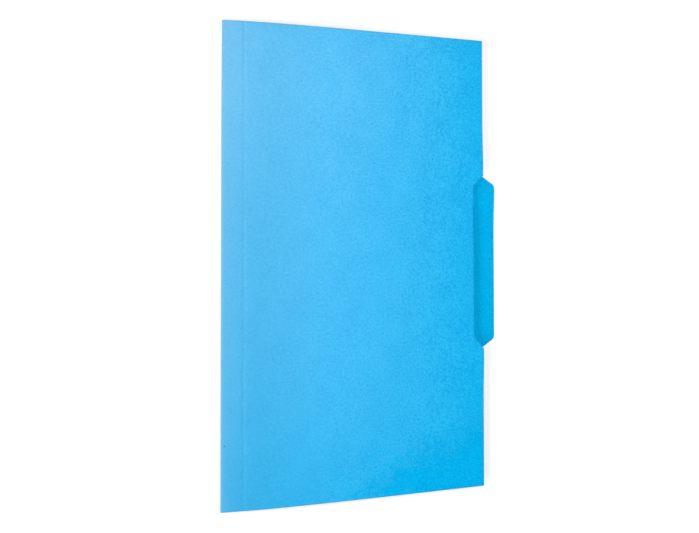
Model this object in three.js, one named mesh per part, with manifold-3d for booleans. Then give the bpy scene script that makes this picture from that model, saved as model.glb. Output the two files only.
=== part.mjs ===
// A file folder: one die-cut sheet of card, folded once, lying shut on its back leaf.
//
// Units are millimetres. X runs across the leaves, from the fold at -X to the tab at +X.
// Y runs along the fold, and Z is up. The origin is on the surface that the folder lies on,
// below the middle of its outline.
//
// The sheet is made the way the real one is: a section of constant thickness is bent round
// the fold, and two dies then cut the edge of each leaf, one with the tab and one with the
// cut-out that shows it.

import * as THREE from 'three';
import { mergeVertices } from 'three/addons/utils/BufferGeometryUtils.js';
import Module from 'manifold-3d';

// The sheet
const cardThickness = 0.28;
const folderHeight = 374.65;
const leafWidth = 228.6;

// The fold, and how the front leaf springs open from it
const foldInnerRadius = 0.4;
const springAngle = 10.3;
const springLength = 39.7;
const freeEdgeGap = 4.1;

// The score line pressed into the outside of the front leaf, beside the fold
const scoreDistance = 17.3;
const scoreWidth = 3.6;
const scoreDepth = 0.1;

// The tab on the back leaf's edge
const tabReach = 12.7;
const tabRootLength = 146.2;
const tabEdgeLength = 129.8;
const tabRootRadius = 4;
const tabCornerRadius = 5;

// The cut-out in the front leaf's edge, which follows the tab's root
const cutoutSetback = 0.8;
const cutoutDepth = 9.6;
const cutoutFloorLength = 127.2;
const cutoutMouthRadius = 2;
const cutoutCornerRadius = 5.5;

// Fineness of the facets
const foldSteps = 20;
const scoreSteps = 12;
const leafSteps = 30;
const nearStepsLeast = 4;
const cornerSteps = 5;

// How far a die reaches past the card that it cuts, and what it trims off
const dieOverlap = 5;
const trimAllowance = 2;

// The most of a straight edge that one rounded corner may take
const cornerShare = 0.45;

// Points closer than this are one point of a solid
const mergeDistance = 1e-5;

const halfThickness = cardThickness / 2;
const foldMiddleRadius = foldInnerRadius + halfThickness;
const foldOuterRadius = foldInnerRadius + cardThickness;
const startSlope = THREE.MathUtils.degToRad(springAngle);
const frontLength = leafWidth - foldOuterRadius;
const overallWidth = leafWidth + tabReach;

// The height at which the fold hands over to the front leaf, along the card's middle
const springHeight = halfThickness + foldMiddleRadius * (1 + Math.cos(startSlope));

// The slope that the front leaf settles to, so that its free edge ends at the gap
const freeEdgeHeight = cardThickness + freeEdgeGap + halfThickness;
const easedLength = springLength * (1 - Math.exp(-frontLength / springLength));
const endSlope =
  (freeEdgeHeight - springHeight - startSlope * easedLength) / (frontLength - easedLength);

// A station is a place on the card's middle line: its x, its z and its heading in radians

function backEdgeStation() {
  return { x: overallWidth + trimAllowance, z: halfThickness, heading: Math.PI };
}

function foldStation(share) {
  const turned = share * (Math.PI - startSlope);
  return {
    x: foldOuterRadius - foldMiddleRadius * Math.sin(turned),
    z: halfThickness + foldMiddleRadius * (1 - Math.cos(turned)),
    heading: Math.PI - turned,
  };
}

// The front leaf's slope dies away from the spring angle to the end slope. The sums below
// are the integrals of that slope, and of its cosine for small angles.
function frontStation(distance) {
  const bend = startSlope - endSlope;
  const decay = Math.exp(-distance / springLength);
  const eased = springLength * (1 - decay);
  const easedTwice = (springLength / 2) * (1 - decay * decay);
  const shortening =
    (endSlope ** 2 * distance + 2 * endSlope * bend * eased + bend ** 2 * easedTwice) / 2;
  const start = foldStation(1);
  return {
    x: start.x + distance - shortening,
    z: start.z + endSlope * distance + bend * eased,
    heading: endSlope + bend * decay,
  };
}

// The score line is a smooth dip of the card's middle line, one wave long
function scoredStation(distance) {
  const station = frontStation(distance);
  const wave = ((distance - scoreDistance + foldOuterRadius) / scoreWidth) * 2 * Math.PI;
  if (Math.abs(wave) >= Math.PI) {
    return station;
  }
  const dip = (scoreDepth / 2) * (1 + Math.cos(wave));
  const dipSlope = ((scoreDepth * Math.PI) / scoreWidth) * Math.sin(wave);
  return {
    x: station.x + dip * Math.sin(station.heading),
    z: station.z - dip * Math.cos(station.heading),
    heading: station.heading + Math.atan(dipSlope),
  };
}

// Even steps from one distance to another, without the last
function steps(from, to, count) {
  return Array.from({ length: count }, (_, i) => from + ((to - from) * i) / count);
}

function cardStations() {
  const scoreStart = scoreDistance - foldOuterRadius - scoreWidth / 2;
  const scoreEnd = scoreStart + scoreWidth;
  const frontEnd = frontLength + trimAllowance;
  const nearSteps = Math.max(nearStepsLeast, Math.round((leafSteps * scoreStart) / frontEnd));
  return [
    backEdgeStation(),
    ...steps(0, 1, foldSteps).map(foldStation),
    ...steps(0, scoreStart, nearSteps).map(frontStation),
    ...steps(scoreStart, scoreEnd, scoreSteps).map(scoredStation),
    ...steps(scoreEnd, frontEnd, leafSteps).map(frontStation),
    frontStation(frontEnd),
  ];
}

// The closed section: along one face of the card, and back along the other
function cardSection() {
  const stations = cardStations();
  const face = (side) =>
    stations.map(
      ({ x, z, heading }) =>
        new THREE.Vector2(
          x - side * halfThickness * Math.sin(heading),
          z + side * halfThickness * Math.cos(heading),
        ),
    );
  return new THREE.Shape([...face(1), ...face(-1).reverse()]);
}

// An outline through corners given as [x, y, radius], each rounded by an arc
function roundedOutline(corners) {
  const shape = new THREE.Shape();
  corners.forEach(([x, y, radius], i) => {
    const corner = new THREE.Vector2(x, y);
    const [px, py] = corners[(i + corners.length - 1) % corners.length];
    const [nx, ny] = corners[(i + 1) % corners.length];
    const toPrevious = new THREE.Vector2(px - x, py - y);
    const toNext = new THREE.Vector2(nx - x, ny - y);
    const room = Math.min(toPrevious.length(), toNext.length()) * cornerShare;
    toPrevious.normalize();
    toNext.normalize();
    const halfAngle = Math.acos(THREE.MathUtils.clamp(toPrevious.dot(toNext), -1, 1)) / 2;
    const arcRadius = Math.min(radius, room * Math.tan(halfAngle));
    if (arcRadius === 0) {
      if (i === 0) {
        shape.moveTo(x, y);
      } else {
        shape.lineTo(x, y);
      }
      return;
    }
    const tangent = arcRadius / Math.tan(halfAngle);
    const centre = toPrevious
      .clone()
      .add(toNext)
      .setLength(arcRadius / Math.sin(halfAngle))
      .add(corner);
    const start = corner.clone().addScaledVector(toPrevious, tangent).sub(centre);
    const end = corner.clone().addScaledVector(toNext, tangent).sub(centre);
    const clockwise = start.cross(end) < 0;
    shape.absarc(centre.x, centre.y, arcRadius, start.angle(), end.angle(), clockwise);
  });
  return shape;
}

// The die beyond the back leaf's edge leaves the tab standing
function backDie() {
  const far = overallWidth + dieOverlap;
  const end = folderHeight / 2 + dieOverlap;
  const root = tabRootLength / 2;
  const edge = tabEdgeLength / 2;
  return roundedOutline([
    [far, -end, 0],
    [far, end, 0],
    [leafWidth, end, 0],
    [leafWidth, root, tabRootRadius],
    [overallWidth, edge, tabCornerRadius],
    [overallWidth, -edge, tabCornerRadius],
    [leafWidth, -root, tabRootRadius],
    [leafWidth, -end, 0],
  ]);
}

// The die beyond the front leaf's edge bites in to make the cut-out
function frontDie() {
  const freeEdge = frontStation(frontLength).x;
  const far = overallWidth + dieOverlap;
  const end = folderHeight / 2 + dieOverlap;
  const mouth = tabRootLength / 2 - cutoutSetback;
  const floor = cutoutFloorLength / 2;
  return roundedOutline([
    [far, -end, 0],
    [far, end, 0],
    [freeEdge, end, 0],
    [freeEdge, mouth, cutoutMouthRadius],
    [freeEdge - cutoutDepth, floor, cutoutCornerRadius],
    [freeEdge - cutoutDepth, -floor, cutoutCornerRadius],
    [freeEdge, -mouth, cutoutMouthRadius],
    [freeEdge, -end, 0],
  ]);
}

function extruded(shape, depth) {
  return new THREE.ExtrudeGeometry(shape, {
    depth,
    steps: 1,
    bevelEnabled: false,
    curveSegments: cornerSteps,
  });
}

function dieBlock(shape, bottom, top) {
  return extruded(shape, top - bottom).translate(0, 0, bottom);
}

function foldedSheet() {
  return extruded(cardSection(), folderHeight)
    .rotateX(Math.PI / 2)
    .translate(0, folderHeight / 2, 0);
}

function solid(wasm, geometry) {
  const bare = geometry.clone();
  bare.deleteAttribute('normal');
  bare.deleteAttribute('uv');
  const merged = mergeVertices(bare, mergeDistance);
  return new wasm.Manifold(
    new wasm.Mesh({
      numProp: 3,
      vertProperties: new Float32Array(merged.attributes.position.array),
      triVerts: new Uint32Array(merged.index.array),
    }),
  );
}

function geometryOf(body) {
  const { vertProperties, triVerts } = body.getMesh();
  const geometry = new THREE.BufferGeometry();
  geometry.setAttribute('position', new THREE.BufferAttribute(vertProperties, 3));
  geometry.setIndex(new THREE.BufferAttribute(triVerts, 1));
  geometry.computeVertexNormals();
  return geometry;
}

const wasm = await Module();
wasm.setup();

// The dies meet half-way up the gap. They reach below the sheet, and higher than the front
// leaf could stand.
const dieBottom = -dieOverlap;
const diesMeet = cardThickness + freeEdgeGap / 2;
const dieTop = leafWidth + dieOverlap;
const backCut = solid(wasm, dieBlock(backDie(), dieBottom, diesMeet));
const frontCut = solid(wasm, dieBlock(frontDie(), diesMeet, dieTop));
const cutSheet = solid(wasm, foldedSheet()).subtract(backCut).subtract(frontCut);

const card = new THREE.Mesh(
  geometryOf(cutSheet),
  new THREE.MeshStandardMaterial({ color: 0x2fb4f4, roughness: 0.6, metalness: 0 }),
);
card.name = 'folder_card';
card.position.x = -overallWidth / 2;

const folder = new THREE.Group();
folder.add(card);

export default folder;
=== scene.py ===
# A file folder of blue card: one die-cut sheet, folded once, lying shut on its back leaf.
#
# The sheet is laid out flat as a die-cut blank, and a Geometry Nodes tree folds it: round the
# fold, up the springy front leaf and through the pressed score line, with the small bends that
# handling left in it. Lengths are written in millimetres and turned into metres as they enter
# the scene.

import math

import bpy
from mathutils import Matrix, Vector


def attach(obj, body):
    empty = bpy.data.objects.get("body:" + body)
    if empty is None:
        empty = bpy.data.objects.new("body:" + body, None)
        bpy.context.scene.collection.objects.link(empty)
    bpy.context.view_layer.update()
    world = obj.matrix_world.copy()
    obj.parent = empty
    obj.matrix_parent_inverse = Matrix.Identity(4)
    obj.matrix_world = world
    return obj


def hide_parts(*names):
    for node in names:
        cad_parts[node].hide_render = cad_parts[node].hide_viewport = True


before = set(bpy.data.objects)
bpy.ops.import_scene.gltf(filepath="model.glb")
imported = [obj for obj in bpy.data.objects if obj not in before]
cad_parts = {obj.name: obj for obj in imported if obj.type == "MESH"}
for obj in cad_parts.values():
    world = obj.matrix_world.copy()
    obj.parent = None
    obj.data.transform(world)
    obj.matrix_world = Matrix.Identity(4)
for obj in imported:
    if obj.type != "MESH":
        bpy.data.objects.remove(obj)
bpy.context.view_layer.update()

MM = 0.001

# The sheet, as the solid model has it
CARD_THICKNESS = 0.28
FOLDER_HEIGHT = 374.65
LEAF_WIDTH = 228.6
TAB_REACH = 12.7
OVERALL_WIDTH = LEAF_WIDTH + TAB_REACH

# The fold and the spring of the front leaf
FOLD_INNER_RADIUS = 0.4
SPRING_ANGLE = math.radians(10.3)
SPRING_LENGTH = 39.7
FREE_EDGE_GAP = 4.1

# The score line
SCORE_DISTANCE = 17.3
SCORE_WIDTH = 3.6
SCORE_DEPTH = 0.08

# The tab and the cut-out, each as half its length at the edge and at its far side
TAB_ROOT = 146.2 / 2
TAB_EDGE = 129.8 / 2
TAB_ROOT_RADIUS = 4
TAB_CORNER_RADIUS = 5
CUTOUT_MOUTH = TAB_ROOT - 0.8
CUTOUT_FLOOR = 127.2 / 2
CUTOUT_DEPTH = 9.6
CUTOUT_MOUTH_RADIUS = 2

# The cut-out's two inner corners have worn unevenly
UPPER_CORNER_RADIUS = 3.5
LOWER_CORNER_RADIUS = 8

# The cut-out's floor leans out a little, from this height down over this length
FLOOR_LEAN = 0.45
FLOOR_LEAN_START = 25
FLOOR_LEAN_LENGTH = 40

# The roll-over that the die leaves along a cut edge
EDGE_ROLL = 0.06

# Faces that meet at a sharper angle than this keep an edge between them
SHARP_ANGLE = math.radians(28)

# The blank's rows are finer between the heights where the die lines slope, and above the
# height from which the top edge is bent
SLOPE_LOW, SLOPE_HIGH = 54, 80
BENT_FROM = 160
ROW_STEP = 4
SLOPE_ROW_STEP = 0.65
BENT_ROW_STEP = 1.5

# The blank's columns are finer by the fold and at the score line, and those past the edge
# band follow the leaf's cut edge
NEAR_FOLD = 24
EDGE_BAND = 204
BACK_STEP = 5
NEAR_BACK_STEP = 2
NEAR_FRONT_STEP = 1
FRONT_STEP = 3
FOLD_COLUMNS = 20
SCORE_COLUMNS = 14
EDGE_COLUMNS = 9

HALF_THICKNESS = CARD_THICKNESS / 2
FOLD_MIDDLE_RADIUS = FOLD_INNER_RADIUS + HALF_THICKNESS
FOLD_OUTER_RADIUS = FOLD_INNER_RADIUS + CARD_THICKNESS
FOLD_TURN = math.pi - SPRING_ANGLE
FOLD_LENGTH = FOLD_MIDDLE_RADIUS * FOLD_TURN
FRONT_LENGTH = LEAF_WIDTH - FOLD_OUTER_RADIUS
SPRING_HEIGHT = HALF_THICKNESS + FOLD_MIDDLE_RADIUS * (1 + math.cos(SPRING_ANGLE))
FREE_EDGE_HEIGHT = CARD_THICKNESS + FREE_EDGE_GAP + HALF_THICKNESS
EASED_LENGTH = SPRING_LENGTH * (1 - math.exp(-FRONT_LENGTH / SPRING_LENGTH))
END_SLOPE = (FREE_EDGE_HEIGHT - SPRING_HEIGHT - SPRING_ANGLE * EASED_LENGTH) / (
    FRONT_LENGTH - EASED_LENGTH
)


# Small tools for building node trees


class Term:
    """A number in a node tree, which arithmetic turns into Math nodes."""

    def __init__(self, tree, socket):
        self.tree = tree
        self.socket = socket

    def math(self, operation, *others):
        node = self.tree.nodes.new("ShaderNodeMath")
        node.operation = operation
        for place, value in enumerate((self, *others)):
            feed(self.tree, node.inputs[place], value)
        return Term(self.tree, node.outputs[0])

    def __add__(self, other):
        return self.math("ADD", other)

    def __sub__(self, other):
        return self.math("SUBTRACT", other)

    def __mul__(self, other):
        return self.math("MULTIPLY", other)

    def __truediv__(self, other):
        return self.math("DIVIDE", other)

    def __neg__(self):
        return self.math("MULTIPLY", -1.0)

    def exp(self):
        return self.math("EXPONENT")

    def sin(self):
        return self.math("SINE")

    def cos(self):
        return self.math("COSINE")

    def at_least(self, low):
        return self.math("MAXIMUM", low)

    def at_most(self, high):
        return self.math("MINIMUM", high)

    def clamped(self):
        return self.at_least(0).at_most(1)

    def squared(self):
        return self.math("MULTIPLY", self)

    def hypot(self, other):
        return (self.squared() + other.squared()).math("SQRT")

    def bell(self, centre, reach):
        """1 at the centre, falling away smoothly over the reach."""
        return (-((self - centre) / reach).squared()).exp()


def feed(tree, socket, value):
    """Links a term to a socket, or sets the socket to a plain number."""
    if isinstance(value, Term):
        tree.links.new(value.socket, socket)
    else:
        socket.default_value = value


def split(tree, vector):
    node = tree.nodes.new("ShaderNodeSeparateXYZ")
    tree.links.new(vector, node.inputs[0])
    return [Term(tree, socket) for socket in node.outputs]


def joined(tree, x, y, z):
    node = tree.nodes.new("ShaderNodeCombineXYZ")
    for socket, value in zip(node.inputs, (x, y, z)):
        feed(tree, socket, value)
    return node.outputs[0]


def noise(tree, vector, scale, detail):
    node = tree.nodes.new("ShaderNodeTexNoise")
    node.inputs["Detail"].default_value = detail
    tree.links.new(vector, node.inputs["Vector"])
    feed(tree, node.inputs["Scale"], scale)
    return Term(tree, node.outputs["Fac"])


# The die-cut blank, flat


def die_line(y, root, edge, reach, root_radius, corner_radius):
    """How far a die line stands off the straight edge at a height y: 0 beyond its root and
    reach along its edge, with a sloping end between them, rounded at both corners."""
    height = abs(y)
    angle = math.atan2(reach, root - edge)
    root_tangent = root_radius * math.tan(angle / 2)
    corner_tangent = corner_radius * math.tan(angle / 2)
    if height >= root + root_tangent:
        return 0.0
    if height > root - root_tangent * math.cos(angle):
        across = root + root_tangent - height
        return root_radius - math.sqrt(root_radius**2 - across**2)
    if height > edge + corner_tangent * math.cos(angle):
        return (root - height) * math.tan(angle)
    if height > edge - corner_tangent:
        across = height - edge + corner_tangent
        return reach - corner_radius + math.sqrt(corner_radius**2 - across**2)
    return reach


def back_edge(y):
    """The back leaf's edge, as its distance from the fold along the sheet."""
    step = die_line(y, TAB_ROOT, TAB_EDGE, TAB_REACH, TAB_ROOT_RADIUS, TAB_CORNER_RADIUS)
    return LEAF_WIDTH - FOLD_OUTER_RADIUS + step


def front_edge(y):
    """The front leaf's edge, as its distance from the fold along the sheet."""
    corner = UPPER_CORNER_RADIUS if y > 0 else LOWER_CORNER_RADIUS
    step = die_line(y, CUTOUT_MOUTH, CUTOUT_FLOOR, CUTOUT_DEPTH, CUTOUT_MOUTH_RADIUS, corner)
    lower = min(1, max(0, (FLOOR_LEAN_START - y) / FLOOR_LEAN_LENGTH))
    return FRONT_LENGTH - step * (1 - lower * FLOOR_LEAN / CUTOUT_DEPTH)


def rim_distance(place, y):
    """How far a place on the blank is from the nearest cut edge."""

    def beside(edge, gap):
        lean = edge(y + 0.5) - edge(y - 0.5)
        return gap / math.hypot(1, lean)

    return min(
        FOLDER_HEIGHT / 2 - abs(y),
        beside(back_edge, place + back_edge(y)),
        beside(front_edge, FOLD_LENGTH + front_edge(y) - place),
    )


def spread(start, end, step):
    """Even places from start to end, about a step apart, without the last."""
    count = max(1, round(abs(end - start) / step))
    return [start + (end - start) * i / count for i in range(count)]


def row_heights():
    """The blank's rows: fine where the die lines slope and by the bent top edge."""
    top = FOLDER_HEIGHT / 2
    return [
        *spread(-top, -SLOPE_HIGH, ROW_STEP),
        *spread(-SLOPE_HIGH, -SLOPE_LOW, SLOPE_ROW_STEP),
        *spread(-SLOPE_LOW, SLOPE_LOW, ROW_STEP),
        *spread(SLOPE_LOW, SLOPE_HIGH, SLOPE_ROW_STEP),
        *spread(SLOPE_HIGH, BENT_FROM, ROW_STEP),
        *spread(BENT_FROM, top, BENT_ROW_STEP),
        top,
    ]


def row_places(y):
    """A row's places along the sheet, from the back leaf's edge to the front leaf's."""
    score_start = SCORE_DISTANCE - FOLD_OUTER_RADIUS - SCORE_WIDTH / 2
    score_end = score_start + SCORE_WIDTH
    back = back_edge(y)
    front = front_edge(y)
    front_distances = [
        *spread(0, score_start, NEAR_FRONT_STEP),
        *spread(score_start, score_end, SCORE_WIDTH / SCORE_COLUMNS),
        *spread(score_end, EDGE_BAND, FRONT_STEP),
        *spread(EDGE_BAND, front, (front - EDGE_BAND) / EDGE_COLUMNS),
        front,
    ]
    return [
        *spread(-back, -EDGE_BAND, (back - EDGE_BAND) / EDGE_COLUMNS),
        *spread(-EDGE_BAND, -NEAR_FOLD, BACK_STEP),
        *spread(-NEAR_FOLD, 0, NEAR_BACK_STEP),
        *spread(0, FOLD_LENGTH, FOLD_LENGTH / FOLD_COLUMNS),
        *[FOLD_LENGTH + distance for distance in front_distances],
    ]


def flat_blank():
    """The blank as a closed slab: x along the sheet, y up it and z through the card."""
    rows = row_heights()
    grid = [row_places(y) for y in rows]
    row_count, column_count = len(rows), len(grid[0])
    last_row, last_column = row_count - 1, column_count - 1

    def outline_shift(i, j):
        across = EDGE_ROLL * ((j == 0) - (j == last_column))
        along = EDGE_ROLL * ((i == 0) - (i == last_row))
        return across, along

    def layer(z, rolled):
        points = []
        for i, y in enumerate(rows):
            for j, place in enumerate(grid[i]):
                across, along = outline_shift(i, j) if rolled else (0, 0)
                points.append((place + across, y + along, z))
        return points

    border = [(0, j) for j in range(column_count)]
    border += [(i, last_column) for i in range(1, row_count)]
    border += [(last_row, j) for j in range(last_column - 1, -1, -1)]
    border += [(i, 0) for i in range(last_row - 1, 0, -1)]

    size = row_count * column_count
    points = layer(HALF_THICKNESS, True) + layer(-HALF_THICKNESS, True)
    faces = []
    for i in range(last_row):
        for j in range(last_column):
            a = i * column_count + j
            b, c, d = a + 1, a + column_count + 1, a + column_count
            faces.append((a, b, c, d))
            faces.append((size + d, size + c, size + b, size + a))
    sheet_faces = len(faces)

    rim_loops = []
    for z in (HALF_THICKNESS - EDGE_ROLL, EDGE_ROLL - HALF_THICKNESS):
        loop = []
        for i, j in border:
            loop.append(len(points))
            points.append((grid[i][j], rows[i], z))
        rim_loops.append(loop)
    outer = [i * column_count + j for i, j in border]
    inner = [size + k for k in outer]
    loops = [outer, *rim_loops, inner]
    for above, below in zip(loops, loops[1:]):
        for k in range(len(border)):
            n = (k + 1) % len(border)
            faces.append((above[n], above[k], below[k], below[n]))

    mesh = bpy.data.meshes.new("blank")
    mesh.from_pydata([tuple(c * MM for c in p) for p in points], [], faces)
    edge = mesh.attributes.new("cut_edge", "FLOAT", "FACE")
    edge.data.foreach_set("value", [float(k >= sheet_faces) for k in range(len(faces))])
    rims = mesh.attributes.new("rim", "FLOAT", "POINT")
    rims.data.foreach_set("value", [rim_distance(x, y) * MM for x, y, _ in points])
    outsides = mesh.attributes.new("outside", "FLOAT", "POINT")
    outsides.data.foreach_set("value", [0.5 + z / CARD_THICKNESS for _, _, z in points])
    mesh.update()
    return mesh


# The tree that folds the blank

FOLD_INPUTS = {
    "Half Thickness": HALF_THICKNESS * MM,
    "Fold Radius": FOLD_MIDDLE_RADIUS * MM,
    "Fold Turn": FOLD_TURN,
    "Spring Angle": SPRING_ANGLE,
    "Spring Length": SPRING_LENGTH * MM,
    "End Slope": END_SLOPE,
    "Score Place": (SCORE_DISTANCE - FOLD_OUTER_RADIUS) * MM,
    "Score Width": SCORE_WIDTH * MM,
    "Score Depth": SCORE_DEPTH * MM,
    "Fold Wear": 0.3 * MM,
    "Fold Wear Height": 187 * MM,
    "Fold Wear Reach": 35 * MM,
    "Tab Lift": 1.3 * MM,
    "Tab Lift Start": 200 * MM,
    "Tab Lift Length": 40 * MM,
    "Tab Lift Height": 60 * MM,
    "Tab Lift Reach": 18 * MM,
    "Edge Lift": 1.1 * MM,
    "Edge Lift Height": 80 * MM,
    "Edge Lift Reach": 19 * MM,
    "Edge Lift Power": 6.0,
    "Dent Depth": 0.35 * MM,
    "Dent Centre": 131 * MM,
    "Dent Half Length": 30 * MM,
    "Dent Half Height": 16 * MM,
    "Wave Height": 0.3 * MM,
    "Wave Scale": 9.0,
    "Wave Crest": 0.62,
    "Wave Start": 0.25,
}


def score_dip(size, front):
    """How deep the score line is at a place, and the slope that it gives the card there."""
    wave = (front - size["Score Place"]) / size["Score Width"] * (2 * math.pi)
    wave = wave.at_least(-math.pi).at_most(math.pi)
    dip = (wave.cos() + 1) * size["Score Depth"] / 2
    slope = wave.sin() * size["Score Depth"] * math.pi / size["Score Width"]
    return dip, slope


def handling(tree, size, front, height):
    """What use has done to the front leaf: a lift of its edge by the cut-out, a shallow dent
    in its top edge and a slow wave over the whole leaf."""
    share = (front / (FRONT_LENGTH * MM)).clamped()
    lift = height.math("ABSOLUTE").bell(size["Edge Lift Height"], size["Edge Lift Reach"])
    lift = lift * share.math("POWER", size["Edge Lift Power"]) * size["Edge Lift"]
    along = (front + FOLD_OUTER_RADIUS * MM - size["Dent Centre"]) / size["Dent Half Length"]
    down = (height - FOLDER_HEIGHT / 2 * MM) / size["Dent Half Height"]
    dent = (-along.hypot(down) + 1).at_least(0) * size["Dent Depth"]
    wave = noise(tree, joined(tree, front, height, 0.0), size["Wave Scale"], 0.0)
    wave = (wave - size["Wave Crest"]).at_most(0) * size["Wave Height"]
    wave = wave * (share / size["Wave Start"]).at_most(1)
    return lift - dent + wave


def folding_tree():
    """Bends the flat slab round the fold and along the springy leaf."""
    tree = bpy.data.node_groups.new("fold_blank", "GeometryNodeTree")
    tree.interface.new_socket("Geometry", in_out="INPUT", socket_type="NodeSocketGeometry")
    for name in FOLD_INPUTS:
        tree.interface.new_socket(name, in_out="INPUT", socket_type="NodeSocketFloat")
    tree.interface.new_socket("Material", in_out="INPUT", socket_type="NodeSocketMaterial")
    tree.interface.new_socket("Geometry", in_out="OUTPUT", socket_type="NodeSocketGeometry")
    given = tree.nodes.new("NodeGroupInput")
    size = {name: Term(tree, given.outputs[name]) for name in FOLD_INPUTS}

    place = tree.nodes.new("GeometryNodeInputPosition")
    along, height, through = split(tree, place.outputs[0])
    back = (-along).at_least(0)
    turn = (along / (size["Fold Radius"] * size["Fold Turn"])).clamped()
    turn = turn * size["Fold Turn"]
    front = (along - size["Fold Radius"] * size["Fold Turn"]).at_least(0)

    # The front leaf's slope dies away from the spring angle to the end slope
    bend = size["Spring Angle"] - size["End Slope"]
    decay = (-front / size["Spring Length"]).exp()
    eased = size["Spring Length"] * (-decay + 1)
    eased_twice = size["Spring Length"] * (-decay.squared() + 1) / 2
    shortening = (
        size["End Slope"].squared() * front
        + size["End Slope"] * bend * eased * 2
        + bend.squared() * eased_twice
    ) / 2
    dip, dip_slope = score_dip(size, front)
    heading = -turn + math.pi + bend * (decay - 1) + dip_slope

    across = back - size["Fold Radius"] * turn.sin() + front - shortening
    up = size["Half Thickness"] + size["Fold Radius"] * (-turn.cos() + 1)
    up = up + size["End Slope"] * front + bend * eased - dip
    up = up + handling(tree, size, front, height)

    # The fold's top end is worn back a little
    worn = height.bell(size["Fold Wear Height"], size["Fold Wear Reach"])
    by_fold = (-(back + front) / size["Spring Length"]).exp()
    across = across + worn * size["Fold Wear"] * by_fold

    # The tab's upper corner curls up off the surface below
    curled = ((back - size["Tab Lift Start"]) / size["Tab Lift Length"]).at_least(0).squared()
    curled = curled * height.bell(size["Tab Lift Height"], size["Tab Lift Reach"])
    up = up + curled * size["Tab Lift"]

    # The card's two faces lie half its thickness off the middle, square to its heading
    across = across - through * heading.sin()
    up = up + through * heading.cos()
    across = across + (FOLD_OUTER_RADIUS - OVERALL_WIDTH / 2) * MM

    move = tree.nodes.new("GeometryNodeSetPosition")
    tree.links.new(given.outputs["Geometry"], move.inputs["Geometry"])
    tree.links.new(joined(tree, across, height, up), move.inputs["Position"])
    real = tree.nodes.new("GeometryNodeRealizeInstances")
    tree.links.new(move.outputs[0], real.inputs[0])
    finish = tree.nodes.new("GeometryNodeSetMaterial")
    tree.links.new(real.outputs[0], finish.inputs["Geometry"])
    tree.links.new(given.outputs["Material"], finish.inputs["Material"])
    result = tree.nodes.new("NodeGroupOutput")
    tree.links.new(finish.outputs[0], result.inputs[0])
    return tree


def folded_card(material):
    """The folder as one plain mesh, which stands for the solid model's sheet."""
    blank = bpy.data.objects.new("blank", flat_blank())
    bpy.context.scene.collection.objects.link(blank)
    modifier = blank.modifiers.new("fold", "NODES")
    modifier.node_group = folding_tree()
    for item in modifier.node_group.interface.items_tree:
        if item.in_out == "INPUT" and item.name in FOLD_INPUTS:
            modifier[item.identifier] = FOLD_INPUTS[item.name]
        elif item.name == "Material":
            modifier[item.identifier] = material
    graph = bpy.context.evaluated_depsgraph_get()
    mesh = bpy.data.meshes.new_from_object(blank.evaluated_get(graph))
    bpy.data.objects.remove(blank)
    mesh.name = "card_sheet"
    mesh.polygons.foreach_set("use_smooth", [True] * len(mesh.polygons))
    mesh.set_sharp_from_angle(angle=SHARP_ANGLE)
    card = bpy.data.objects.new("card_sheet", mesh)
    bpy.context.scene.collection.objects.link(card)
    return card


# The card's finish
#
# Lengths are in millimetres. A share across the leaf is 0 at the fold and 1 at the free edge.

DEEP_BLUE = (0.0, 0.398, 0.827)
PALE_BLUE = (0.0, 0.505, 0.918)
SHEEN_PAINT_BLUE = (0.62, 0.86, 1.0)
CUT_EDGE_BLUE = (0.08, 0.46, 0.80)
SPECK_GREY = (0.02, 0.08, 0.14)

# The tooth of the card, and how strongly it shows in the colour and in the patches of wear
TOOTH = {
    "Mottle Scale": 640,
    "Grit Scale": 1900,
    "Cloud Scale": 48,
    "Mottle": 0.85,
    "Grit": 0.35,
    "Cloud": 0.22,
}
FINE_DETAIL = 3.0
TOOTH_HEIGHT = 0.12
TOOTH_CONTRAST = 3.6
TOOTH_PATCHINESS = 3

# The corner that handling has left alone: its share across, how far it is below the middle,
# and the patches that break up its border
FRESH_START = 0.35
FRESH_REACH = 0.35
FRESH_BELOW = 137
FRESH_BELOW_REACH = 42
FRESH_PATCH_SCALE = 75
FRESH_PATCH_DEPTH = 1.6

# How rubbed the leaf is, which falls away from the fold and in the fresh corner, and the
# relief that rubbing leaves in the tooth
RUB_FALL = 0.6
RUB_FRESH_LOSS = 0.45
RELIEF_MOST = 1.65
RELIEF_LOSS = 1.2

# The sheen that a rubbed face takes on, which the inner face has little of
SHEEN_START = 0.2
SHEEN_REACH = 0.37
INNER_SHEEN = 0.015
OUTER_SHEEN_GAIN = 0.335

# The darker rim by a cut edge, the darker card towards the fold and the painted shade on the
# inner face
RIM_REACH = 1.3
RIM_DARKENING = 0.18
FOLD_SIDE_DARK_REACH = 0.38
FOLD_SIDE_DARKENING = 0.17
INNER_PAINTED_SHADE = 0.05

# Painted sheen over the leaf, a pale highlight mixed into the colour, strongest by the top of the
# fold
SHEEN_PAINT_FALL = 0.35
SHEEN_PAINT_CURVE = 0.6
SHEEN_PAINT_MIDDLE = 0.073
SHEEN_PAINT_RISE = 0.07
SHEEN_PAINT_FRESH_LOSS = 0.88

# Painted highlight along the fold, wide and narrow, and on the score line's far lip, which is on
# the front leaf alone, above this height
FOLD_HIGHLIGHT_DEPTH = 0.11
FOLD_HIGHLIGHT_REACH = 5
CREASE_DEPTH = 0.15
CREASE_REACH = 0.7
LIP_DEPTH = 0.014
LIP_OFFSET = 1.3
LIP_REACH = 1.1
LIP_ABOVE = 2

# The one dark speck
SPECK_FROM_FOLD = 2.7
SPECK_HEIGHT = -137.5
SPECK_RADIUS = 0.9


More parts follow.
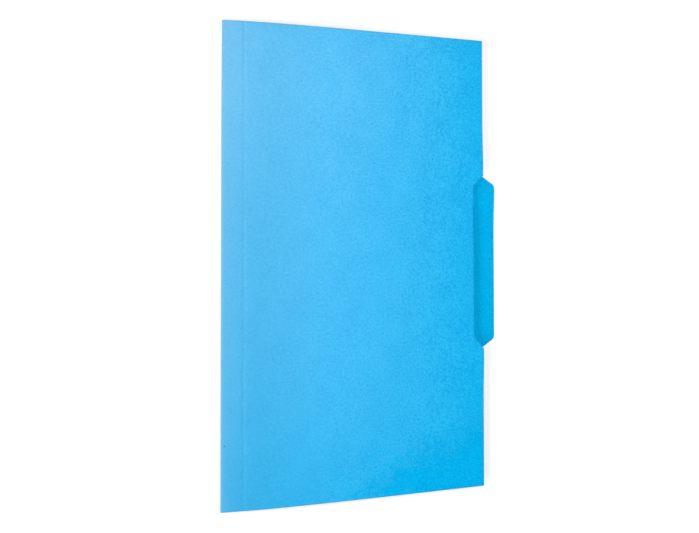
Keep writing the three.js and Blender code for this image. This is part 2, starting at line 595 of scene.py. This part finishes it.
def tooth_group():
    """The card's tooth: the soft mottle of its fibres, the grit of its face and the clouds of
    its dye. It puts out a height for the relief and a shade around 1 for the colour."""
    tree = bpy.data.node_groups.new("card_tooth", "ShaderNodeTree")
    for name in ("Mottle Scale", "Grit Scale", "Cloud Scale", "Mottle", "Grit", "Cloud"):
        tree.interface.new_socket(name, in_out="INPUT", socket_type="NodeSocketFloat")
    tree.interface.new_socket("Vector", in_out="INPUT", socket_type="NodeSocketVector")
    tree.interface.new_socket("Height", in_out="OUTPUT", socket_type="NodeSocketFloat")
    tree.interface.new_socket("Shade", in_out="OUTPUT", socket_type="NodeSocketFloat")
    given = tree.nodes.new("NodeGroupInput")
    result = tree.nodes.new("NodeGroupOutput")

    def layer(name):
        scale = Term(tree, given.outputs[name + " Scale"])
        strength = Term(tree, given.outputs[name])
        return (noise(tree, given.outputs["Vector"], scale, FINE_DETAIL) - 0.5) * strength

    mottle, grit, cloud = layer("Mottle"), layer("Grit"), layer("Cloud")
    tree.links.new((mottle + grit * 0.5).socket, result.inputs["Height"])
    tree.links.new((mottle + grit + cloud + 1).socket, result.inputs["Shade"])
    return tree


def mixed(tree, factor, first, second):
    node = tree.nodes.new("ShaderNodeMix")
    node.data_type = "RGBA"
    tree.links.new(factor.socket, node.inputs["Factor"])
    for socket, value in ((node.inputs["A"], first), (node.inputs["B"], second)):
        if isinstance(value, tuple):
            socket.default_value = (*value, 1)
        else:
            tree.links.new(value, socket)
    return node.outputs["Result"]


def shaded(tree, color, shade):
    """A colour made lighter or darker by a number around 1."""
    node = tree.nodes.new("ShaderNodeVectorMath")
    node.operation = "SCALE"
    tree.links.new(color, node.inputs[0])
    tree.links.new(shade.socket, node.inputs["Scale"])
    return node.outputs[0]


def attribute(tree, name):
    node = tree.nodes.new("ShaderNodeAttribute")
    node.attribute_name = name
    return Term(tree, node.outputs["Fac"])


def fresh_corner(tree, place, across, y):
    """1 in the lower corner by the free edge, which handling has left alone."""
    patches = (noise(tree, place, FRESH_PATCH_SCALE, FINE_DETAIL) - 0.5) * FRESH_PATCH_DEPTH
    beyond = (across - FRESH_START) / FRESH_REACH
    below = (-y / MM - FRESH_BELOW) / FRESH_BELOW_REACH
    return (beyond + patches).clamped() * (below + patches).clamped()


def painted_sheen(from_fold, y, z, corner, patchy):
    """Painted sheen: how much pale highlight is painted into the colour over the leaf, most of
    all by the top of the fold, along the fold itself and on the score line's lit far lip."""
    across = from_fold / LEAF_WIDTH
    painted_veil = (across * -SHEEN_PAINT_FALL - across.squared() * SHEEN_PAINT_CURVE + 1).at_least(0)
    painted_veil = painted_veil * (y / MM / FOLDER_HEIGHT * SHEEN_PAINT_RISE + SHEEN_PAINT_MIDDLE)
    painted_veil = painted_veil * (corner * -SHEEN_PAINT_FRESH_LOSS + 1) * patchy
    by_fold = (-from_fold / FOLD_HIGHLIGHT_REACH).exp() * FOLD_HIGHLIGHT_DEPTH
    by_fold = by_fold + (-from_fold / CREASE_REACH).exp() * CREASE_DEPTH
    front_only = (z / MM - LIP_ABOVE).clamped()
    lip = from_fold.bell(SCORE_DISTANCE + LIP_OFFSET, LIP_REACH) * front_only * LIP_DEPTH
    return by_fold + painted_veil + lip


def dark_speck(x, y):
    """1 at the middle of the one dark speck."""
    from_x = x - (SPECK_FROM_FOLD - OVERALL_WIDTH / 2) * MM
    from_y = y - SPECK_HEIGHT * MM
    return (-(from_x.hypot(from_y) / (SPECK_RADIUS * MM)) + 1).clamped()


def card_material():
    """Dyed card: matt fibres with a soft burnish, which is the coat, over them. Its colour also
    holds painted sheen and painted shade.
    """
    material = bpy.data.materials.new("blue_card")
    material.use_nodes = True
    tree = material.node_tree
    shader = tree.nodes["Principled BSDF"]
    shader.inputs["Roughness"].default_value = 0.5
    shader.inputs["Specular IOR Level"].default_value = 0.015
    shader.inputs["Coat IOR"].default_value = 1.5
    shader.inputs["Coat Roughness"].default_value = 0.28

    place = tree.nodes.new("ShaderNodeTexCoord").outputs["Object"]
    x, y, z = split(tree, place)
    from_fold = x / MM + OVERALL_WIDTH / 2
    across = from_fold / LEAF_WIDTH
    outside = attribute(tree, "outside")
    cut = attribute(tree, "cut_edge")
    corner = fresh_corner(tree, place, across, y)
    rubbed = (across * -RUB_FALL - corner * RUB_FRESH_LOSS + 1).clamped()

    tooth = tree.nodes.new("ShaderNodeGroup")
    tooth.node_tree = tooth_group()
    tree.links.new(place, tooth.inputs["Vector"])
    for name, value in TOOTH.items():
        tooth.inputs[name].default_value = value
    relief = rubbed * -RELIEF_LOSS + RELIEF_MOST
    fibre = (Term(tree, tooth.outputs["Shade"]) - 1) * relief
    patchy = fibre * relief * TOOTH_PATCHINESS + 1

    # The colour is made darker by the cut edges and darker towards the fold
    cut_edge_dark = (-attribute(tree, "rim") / (RIM_REACH * MM) + 1).at_least(0)
    fold_side_dark = (-across / FOLD_SIDE_DARK_REACH + 1).clamped()
    shade = (-cut_edge_dark * RIM_DARKENING + 1) * (-fold_side_dark * FOLD_SIDE_DARKENING + 1)
    # Painted shade darkens the inner face, where the tab lies under the front leaf
    shade = shade * (outside * INNER_PAINTED_SHADE + (1 - INNER_PAINTED_SHADE))
    color = mixed(tree, fibre * TOOTH_CONTRAST + 0.5, DEEP_BLUE, PALE_BLUE)
    color = shaded(tree, color, shade)
    # Painted sheen: a pale highlight mixed into the outer face's colour
    color = mixed(tree, painted_sheen(from_fold, y, z, corner, patchy) * outside, color, SHEEN_PAINT_BLUE)
    color = mixed(tree, cut, color, CUT_EDGE_BLUE)
    color = mixed(tree, dark_speck(x, y), color, SPECK_GREY)
    tree.links.new(color, shader.inputs["Base Color"])

    burnish = ((rubbed - SHEEN_START) / SHEEN_REACH).clamped()
    burnish = burnish * (outside * OUTER_SHEEN_GAIN + INNER_SHEEN) * (-cut + 1) * patchy
    tree.links.new(burnish.socket, shader.inputs["Coat Weight"])

    bump = tree.nodes.new("ShaderNodeBump")
    bump.inputs["Distance"].default_value = TOOTH_HEIGHT * MM
    height = Term(tree, tooth.outputs["Height"]) * relief
    tree.links.new(height.socket, bump.inputs["Height"])
    tree.links.new(bump.outputs["Normal"], shader.inputs["Normal"])
    tree.links.new(bump.outputs["Normal"], shader.inputs["Coat Normal"])
    return material


# The camera, the studio and its light

IMAGE_WIDTH = 699
SENSOR_WIDTH = 36
FOCAL_PIXELS = 1067.6
RISE_PIXELS = 60.1
CAMERA_PLACE = (-358.84, 17.68, 784.58)
CAMERA_PAN = math.radians(-23.757)
CAMERA_TILT = math.radians(-1.856)
CAMERA_ROLL = math.radians(-0.057)

# Each lamp's place, width and height, in metres, and its radiance
LAMPS = {
    "overhead_softbox": ((0.264, -0.071, 0.9), 0.3, 0.475, 3.26),
    "side_softbox": ((-1.821, -0.816, 0.901), 0.578, 2.057, 8.65),
    "top_softbox": ((0.146, 0.357, 1.155), 0.868, 0.278, 5.95),
    "fold_softbox": ((-0.045, 0.122, 1.8), 0.136, 1.31, 14.36),
}
WORLD_FILL = 0.12

# The floor's half width in metres and its drop below the folder in millimetres, and its
# glow, which grows with the distance in metres from the folder
FLOOR_HALF_WIDTH = 6.0
FLOOR_DROP = 0.05
GLOW_START = 0.35
GLOW_GROWTH = 0.5
GLOW_LEAST = 0.3
GLOW_MOST = 0.95


def make_camera():
    """The camera looks down on the folder from beyond its fold, as the photograph looks at
    it. Its shift keeps the folder's long edges nearly parallel in the frame."""
    data = bpy.data.cameras.new("camera")
    data.sensor_width = SENSOR_WIDTH
    data.lens = FOCAL_PIXELS * SENSOR_WIDTH / IMAGE_WIDTH
    data.shift_y = -RISE_PIXELS / IMAGE_WIDTH
    data.clip_start, data.clip_end = 0.01, 100
    camera = bpy.data.objects.new("camera", data)
    back = Vector(
        (
            math.sin(CAMERA_PAN) * math.cos(CAMERA_TILT),
            math.sin(CAMERA_TILT),
            math.cos(CAMERA_PAN) * math.cos(CAMERA_TILT),
        )
    )
    right = Vector((0, 1, 0)).cross(back).normalized()
    turned = Matrix.Rotation(CAMERA_ROLL, 3, back)
    right = turned @ right
    up = back.cross(right)
    camera.matrix_world = Matrix.Translation(Vector(CAMERA_PLACE) * MM) @ Matrix(
        (right, up, back)
    ).transposed().to_4x4()
    bpy.context.scene.collection.objects.link(camera)
    bpy.context.scene.camera = camera


def softbox(name, place, width, height, radiance):
    """An area lamp that faces the folder. Its power follows from the radiance of its face."""
    data = bpy.data.lights.new(name, "AREA")
    data.shape = "RECTANGLE"
    data.size, data.size_y = width, height
    data.energy = radiance * math.pi * width * height
    lamp = bpy.data.objects.new(name, data)
    back = Vector(place).normalized()
    right = Vector((0, 1, 0)).cross(back).normalized()
    up = back.cross(right)
    turn = Matrix((right, up, back)).transposed().to_4x4()
    lamp.matrix_world = Matrix.Translation(place) @ turn
    lamp.visible_camera = False
    bpy.context.scene.collection.objects.link(lamp)


def seen_directly(tree):
    """1 for rays from the camera and for those that a mirror or glass passes on."""
    path = tree.nodes.new("ShaderNodeLightPath")
    rays = [
        Term(tree, path.outputs[name])
        for name in ("Is Camera Ray", "Is Glossy Ray", "Is Transmission Ray")
    ]
    return rays[0].math("MAXIMUM", rays[1]).math("MAXIMUM", rays[2])


def make_world():
    world = bpy.data.worlds.new("studio")
    world.use_nodes = True
    tree = world.node_tree
    background = tree.nodes["Background"]
    background.inputs["Color"].default_value = (1, 1, 1, 1)
    strength = seen_directly(tree) * (1 - WORLD_FILL) + WORLD_FILL
    tree.links.new(strength.socket, background.inputs["Strength"])
    bpy.context.scene.world = world


def make_floor():
    """A wide white floor, lit up to white where it is seen, which keeps the soft shadow."""
    half = FLOOR_HALF_WIDTH
    drop = -FLOOR_DROP * MM
    mesh = bpy.data.meshes.new("floor")
    corners = [(-half, -half, drop), (half, -half, drop), (half, half, drop), (-half, half, drop)]
    mesh.from_pydata(corners, [], [(0, 1, 2, 3)])
    floor = bpy.data.objects.new("floor", mesh)
    bpy.context.scene.collection.objects.link(floor)
    material = bpy.data.materials.new("floor_white")
    material.use_nodes = True
    tree = material.node_tree
    shader = tree.nodes["Principled BSDF"]
    shader.inputs["Base Color"].default_value = (0.8, 0.8, 0.8, 1)
    shader.inputs["Roughness"].default_value = 1.0
    shader.inputs["Specular IOR Level"].default_value = 0.0
    shader.inputs["Emission Color"].default_value = (1, 1, 1, 1)
    x, y, _ = split(tree, tree.nodes.new("ShaderNodeTexCoord").outputs["Object"])
    glow = (x.hypot(y) - GLOW_START) * GLOW_GROWTH + GLOW_LEAST
    glow = glow.at_least(GLOW_LEAST).at_most(GLOW_MOST) * seen_directly(tree)
    tree.links.new(glow.socket, shader.inputs["Emission Strength"])
    mesh.materials.append(material)


scene = bpy.context.scene
scene.view_settings.view_transform = "Standard"

make_camera()
make_world()
make_floor()
for name, (place, width, height, radiance) in LAMPS.items():
    softbox(name, place, width, height, radiance)

card = folded_card(card_material())
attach(card, "root")
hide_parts("folder_card")
